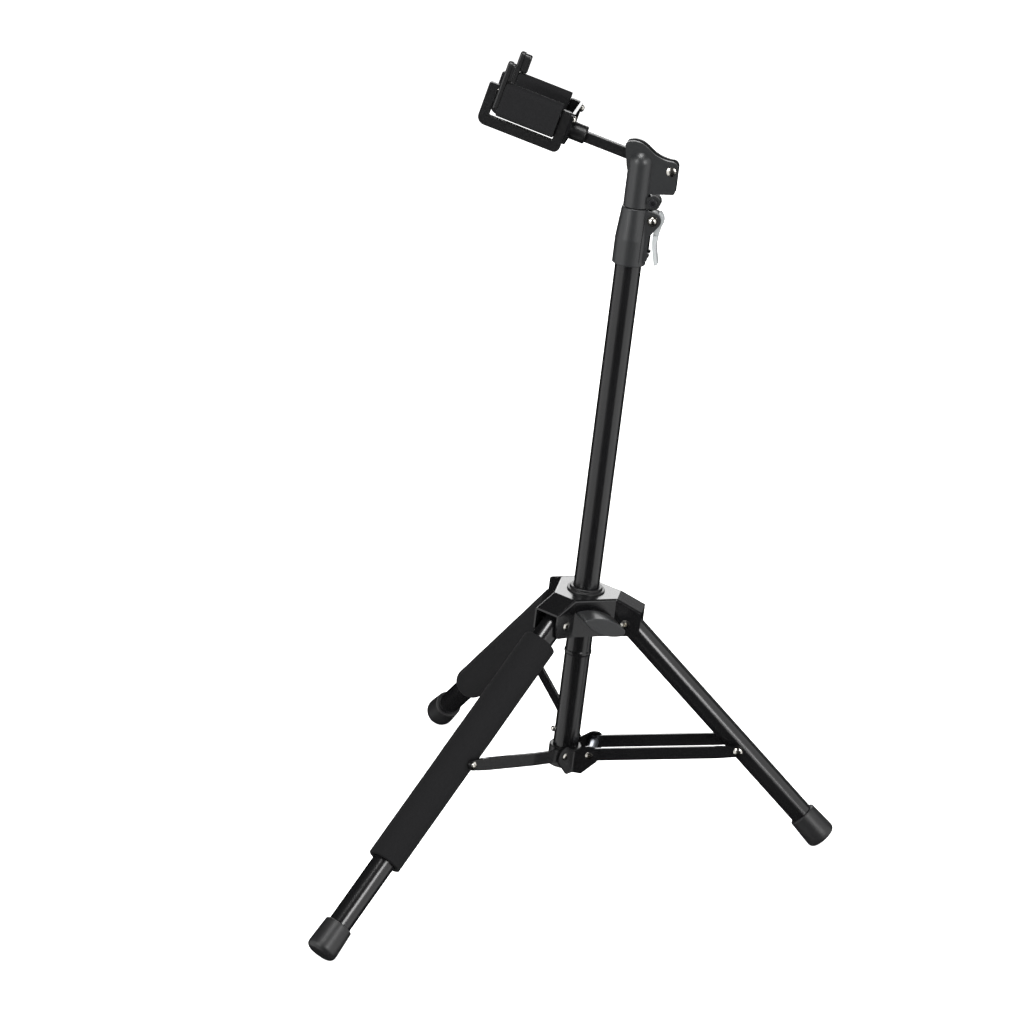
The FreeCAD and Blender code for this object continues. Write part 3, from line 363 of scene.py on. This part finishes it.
def tubeAxis(name):
    # middle of the top and bottom end of a long round node, from its own mesh
    points = nodePoints(name)
    middle = points.mean(0)
    along = np.linalg.svd(points - middle, full_matrices=False)[2][0]
    for _ in range(3):
        run = (points - middle) @ along
        first = points[run < run.min() + endBand].mean(0)
        last = points[run > run.max() - endBand].mean(0)
        along = (last - first) / np.linalg.norm(last - first)
    if first[2] < last[2]:
        first, last = last, first
    return Vector(first), Vector(last)


def meshObject(name, points, faces, smooth=True):
    mesh = bpy.data.meshes.new(name)
    mesh.from_pydata(points, [], faces)
    mesh.validate()
    shape = bmesh.new()
    shape.from_mesh(mesh)
    bmesh.ops.recalc_face_normals(shape, faces=shape.faces)
    shape.to_mesh(mesh)
    shape.free()
    if smooth:
        mesh.polygons.foreach_set("use_smooth", [True] * len(mesh.polygons))
    piece = bpy.data.objects.new(name, mesh)
    bpy.context.scene.collection.objects.link(piece)
    return piece


def loftRings(rings, closed):
    # quads between rings of equal length, the last ring joined to the first where closed
    count, total = len(rings[0]), len(rings)
    points = [p for ring in rings for p in ring]
    faces = []
    for i in range(total if closed else total - 1):
        j = (i + 1) % total
        for k in range(count):
            n = (k + 1) % count
            faces.append((i * count + k, i * count + n, j * count + n, j * count + k))
    return points, faces


# sizes in metres
foamSleeve = {
    "outer": 0.0189,
    "inner": 0.01255,
    "cutRound": 0.0012,             # knife-cut ends, barely rounded
    "cutBend": (0.4, 0.8, 1.2),     # radians round each cut edge
    "boreRound": 0.0004,
    "boreShy": 0.0006,              # the bore starts this far inside each end
    "waver": 0.00022,               # how far the skin wanders from round
    "settle": 0.7,                  # share of that by which the whole skin sits lower
    "wave": (1.3, 22.0, 0.6),       # per turn, per metre, share of the waver
    "ripple": (4.0, 90.0, 0.25),
    "screwDimple": 0.0011,          # skin pressed in round the brace's bush
    "dimpleReach": 0.011,
    "around": 112,
    "along": 150,
}


def sleeveProfile(look, length):
    # radius and run down the leg, out over the sleeve and back through its bore
    outer, inner, cut = look["outer"], look["inner"], look["cutRound"]
    shoulder, lip = outer - cut, inner + look["boreRound"]
    count, bend, shy = look["along"], look["cutBend"], look["boreShy"]
    profile = [(lip, 0.0), (shoulder, 0.0)]
    profile += [(shoulder + cut * math.sin(a), cut - cut * math.cos(a)) for a in bend]
    profile += [(outer, cut + (length - 2 * cut) * i / count) for i in range(count + 1)]
    profile += [(shoulder + cut * math.cos(a), length - cut + cut * math.sin(a))
                for a in bend]
    profile += [(shoulder, length), (lip, length), (inner, length - shy), (inner, shy)]
    return profile


def skinWaver(look, c, s, run, seed):
    total = look["settle"]
    for turn, perMetre, share in (look["wave"], look["ripple"]):
        total += share * noise.noise(Vector((c * turn, s * turn, run * perMetre + seed)))
    return look["waver"] * total


def makeFoamSleeve(side, seed):
    look = foamSleeve
    top, bottom = tubeAxis(side + "_leg_foam")
    along = (bottom - top).normalized()
    across = Vector(joints[side + "_leg_hinge"]["axis"]).normalized()
    across = (across - along * across.dot(along)).normalized()
    out = along.cross(across)
    low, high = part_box(side + "_leg_eyelet")
    bush = (low + high) / 2
    rings = []
    for radius, run in sleeveProfile(look, (bottom - top).length):
        place = top + along * run
        onSkin = radius > look["inner"] + 0.001
        ring = []
        for k in range(look["around"]):
            angle = 2 * math.pi * k / look["around"]
            c, s = math.cos(angle), math.sin(angle)
            direction = across * c + out * s
            r = radius
            if onSkin:
                r -= skinWaver(look, c, s, run, seed)
                away = place + direction * r - bush
                away -= across * away.dot(across)
                near = max(0.0, 1 - away.length / look["dimpleReach"])
                r -= look["screwDimple"] * near * near * abs(c)
            ring.append(place + direction * r)
        rings.append(ring)
    points, faces = loftRings(rings, closed=True)
    sleeve = meshObject(side + "FoamSleeve", points, faces)
    sleeve.data.materials.append(foam)
    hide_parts(side + "_leg_foam")
    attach(sleeve, side + "_leg")


for side, seed in (("right", 3.1), ("left", 8.7)):
    makeFoamSleeve(side, seed)
print("foam sleeves made")

# sizes in metres
yokePad = {
    "corner": 0.0062,               # round of the pad's long edges
    "leastCorner": 0.001,
    "cornerSteps": 12,
    "endRound": 0.0008,             # soft round of its cut ends
    "endBend": (0.0, 0.35, 0.7, 1.05, 1.3),     # radians round that
    "endRings": (0.8, 0.55, 0.3, 0.12),         # shares of the rings that close an end
    "crown": 0.0004,                # sides swell this much between the ends
    "shy": 0.0001,                  # kept inside the plain solid
    "wobble": 0.005,                # share by which the sides wander
    "wobbleScale": (160, 60),       # per metre, round the pad and along it
    "around": 96,
    "along": 60,
}


def roundedRing(halfWide, low, high, corner):
    # points evenly spread round a rectangle with round corners
    steps, count = yokePad["cornerSteps"], yokePad["around"]
    corner = min(corner, halfWide * 0.97, (high - low) / 2 * 0.97)
    centres = [(halfWide - corner, high - corner, 0), (-halfWide + corner, high - corner, 90),
               (-halfWide + corner, low + corner, 180), (halfWide - corner, low + corner, 270)]
    path = []
    for x, y, start in centres:
        for i in range(steps + 1):
            a = math.radians(start + 90 * i / steps)
            path.append((x + corner * math.cos(a), y + corner * math.sin(a)))
    spans = [math.dist(path[i], path[(i + 1) % len(path)]) for i in range(len(path))]
    total, ring, i, done = sum(spans), [], 0, 0.0
    for k in range(count):
        target = total * k / count
        while done + spans[i] < target:
            done += spans[i]
            i += 1
        share = (target - done) / spans[i] if spans[i] > 1e-9 else 0
        a, b = path[i], path[(i + 1) % len(path)]
        ring.append((a[0] + (b[0] - a[0]) * share, a[1] + (b[1] - a[1]) * share))
    return ring


def closeEnd(points, faces, ring, base):
    # shrinking rings, so that the end stays a grid of quads round one small face
    count = len(ring)
    centre = sum(ring, Vector()) / count
    previous = [base + k for k in range(count)]
    for share in yokePad["endRings"]:
        current = [len(points) + k for k in range(count)]
        points += [centre + (p - centre) * share for p in ring]
        for k in range(count):
            n = (k + 1) % count
            faces.append((previous[k], previous[n], current[n], current[k]))
        previous = current
    faces.append(tuple(previous))


def padStations(look, length):
    # run along the pad, and how far the skin draws in there
    ends, count = look["endRound"], look["along"]
    bend = [(ends * (1 - math.cos(a)), ends * (1 - math.sin(a))) for a in look["endBend"]]
    stations = bend + [(ends + (length - 2 * ends) * i / count, 0.0) for i in range(count + 1)]
    stations += [(length - run, inset) for run, inset in reversed(bend)]
    return stations


def makeYokePad(side, seed):
    look = yokePad
    joint = joints[side + "_gate_swing"]
    start = Vector(joint["pos_m"])
    forward = Vector(joint["axis"]).normalized()
    if forward.y > 0:
        forward = -forward
    across = Vector((1, 0, 0))
    rise = across.cross(forward)
    if rise.z < 0:
        rise = -rise
    local = np.array([[(Vector(p) - start).dot(d) for d in (forward, across, rise)]
                      for p in nodePoints(side + "_pad")])
    low, high = local.min(0), local.max(0)
    shy = look["shy"]
    length = high[0] - low[0] - 2 * shy
    middle = (low[1] + high[1]) / 2
    half = (high[1] - low[1]) / 2 - shy - look["crown"]
    roundScale, alongScale = look["wobbleScale"]
    rings = []
    for run, inset in padStations(look, length):
        share = min(1.0, max(0.0, run / length))
        swell = look["crown"] * math.sin(math.pi * share) ** 0.5
        ring = roundedRing(half - inset + swell, low[2] + shy + inset, high[2] - shy - inset,
                           max(look["leastCorner"], look["corner"] - inset))
        points = []
        for x, z in ring:
            spot = Vector((x * roundScale, z * roundScale, run * alongScale + seed))
            wobble = 1 + look["wobble"] * noise.noise(spot)
            points.append(start + forward * (low[0] + shy + run)
                          + across * (middle + x * wobble) + rise * z)
        rings.append(points)
    points, faces = loftRings(rings, closed=False)
    closeEnd(points, faces, rings[0], 0)
    closeEnd(points, faces, rings[-1], (len(rings) - 1) * look["around"])
    pad = meshObject(side + "YokePad", points, faces)
    pad.data.materials.append(foam)
    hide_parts(side + "_pad")
    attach(pad, side + "_gate")


for side, seed in (("right", 1.3), ("left", 5.9)):
    makeYokePad(side, seed)
print("yoke pads made")

studio = {
    "floorSize": 60.0,
    "floorColour": "#f4f4f3",
    "floorGlow": 0.8,
    "floorMottle": 3.0,             # per metre
    "floorRoughness": (0.7, 0.85),
    "surround": 0.4,
    # name: place, aim, width, height, power
    "lights": {
        "leftPanel": ((1.1, -2.36, 0.2), (0, 0, 0.2), 4.2, 4.0, 56),
        "rightPanel": ((0.41, 2.57, 0.2), (0, 0, 0.2), 4.0, 4.0, 60),
        "rightKey": ((1.89, 1.59, 1.15), (0, 0, 0.35), 0.7, 0.9, 26),
        "leftKey": ((1.93, -1.35, 1.45), (0, 0, 0.35), 0.9, 0.9, 24),
        "overhead": ((0.8, 0.1, 2.8), (0, 0, 0.3), 0.9, 0.9, 50),
        "backLeft": ((-3.0, -0.6, 1.4), (0, 0, 0.3), 2.0, 1.6, 40),
        "backWide": ((-3.2, 0.6, 1.5), (0, 0, 0.3), 4.0, 2.4, 12),
    },
}
view = {
    "place": (3.64332, 0.60379, 1.63598),
    "turn": (71.256, 2.720, 99.723),    # degrees
    "lens": 128.22,                     # mm, on a 36 mm wide sensor
    "sensor": 36.0,
    "sight": 60,                        # metres
}


def makeFloor():
    # painted studio floor: matte near-white, faintly lit from below so that it stays even
    material, tree, place = newMaterial("paintedStudioFloor")
    mottle = addNode(tree, "ShaderNodeTexNoise", {"Scale": studio["floorMottle"], "Detail": 3.0},
                     {"Vector": place})
    low, high = studio["floorRoughness"]
    rough = addNode(tree, "ShaderNodeMapRange", {"To Min": low, "To Max": high},
                    {"Value": mottle.outputs["Fac"]})
    shader = addNode(tree, "ShaderNodeBsdfPrincipled",
                     {"Base Color": linearColour(studio["floorColour"]),
                      "Specular IOR Level": 0.1, "Emission Color": (1, 1, 1, 1),
                      "Emission Strength": studio["floorGlow"]},
                     {"Roughness": rough.outputs["Result"]})
    finishMaterial(tree, shader)
    edge = studio["floorSize"] / 2
    corners = [(-edge, -edge, 0), (edge, -edge, 0), (edge, edge, 0), (-edge, edge, 0)]
    floor = meshObject("floor", corners, [(0, 1, 2, 3)], smooth=False)
    floor.data.materials.append(material)
    floor.visible_glossy = False    # the black coat mirrors the soft panels, not the floor
    floor.visible_shadow = False    # and the panels reach below it


def makeLights():
    for name, (place, target, width, height, power) in studio["lights"].items():
        data = bpy.data.lights.new(name, "AREA")
        data.shape = "RECTANGLE"
        data.size, data.size_y, data.energy = width, height, power
        lamp = bpy.data.objects.new(name, data)
        lamp.location = place
        facing = Vector(target) - Vector(place)
        lamp.rotation_euler = facing.to_track_quat("-Z", "Y").to_euler()
        lamp.visible_camera = False
        bpy.context.scene.collection.objects.link(lamp)
    world = bpy.data.worlds.new("studio")
    world.use_nodes = True
    background = world.node_tree.nodes["Background"]
    background.inputs["Color"].default_value = (1, 1, 1, 1)
    background.inputs["Strength"].default_value = studio["surround"]
    world.cycles_visibility.glossy = False
    bpy.context.scene.world = world


def makeCamera():
    data = bpy.data.cameras.new("camera")
    data.lens, data.sensor_width, data.clip_end = view["lens"], view["sensor"], view["sight"]
    camera = bpy.data.objects.new("camera", data)
    camera.location = view["place"]
    camera.rotation_euler = [math.radians(a) for a in view["turn"]]
    bpy.context.scene.collection.objects.link(camera)
    bpy.context.scene.camera = camera


makeFloor()
makeLights()
makeCamera()
bpy.context.scene.view_settings.view_transform = "Standard"
print("studio ready")
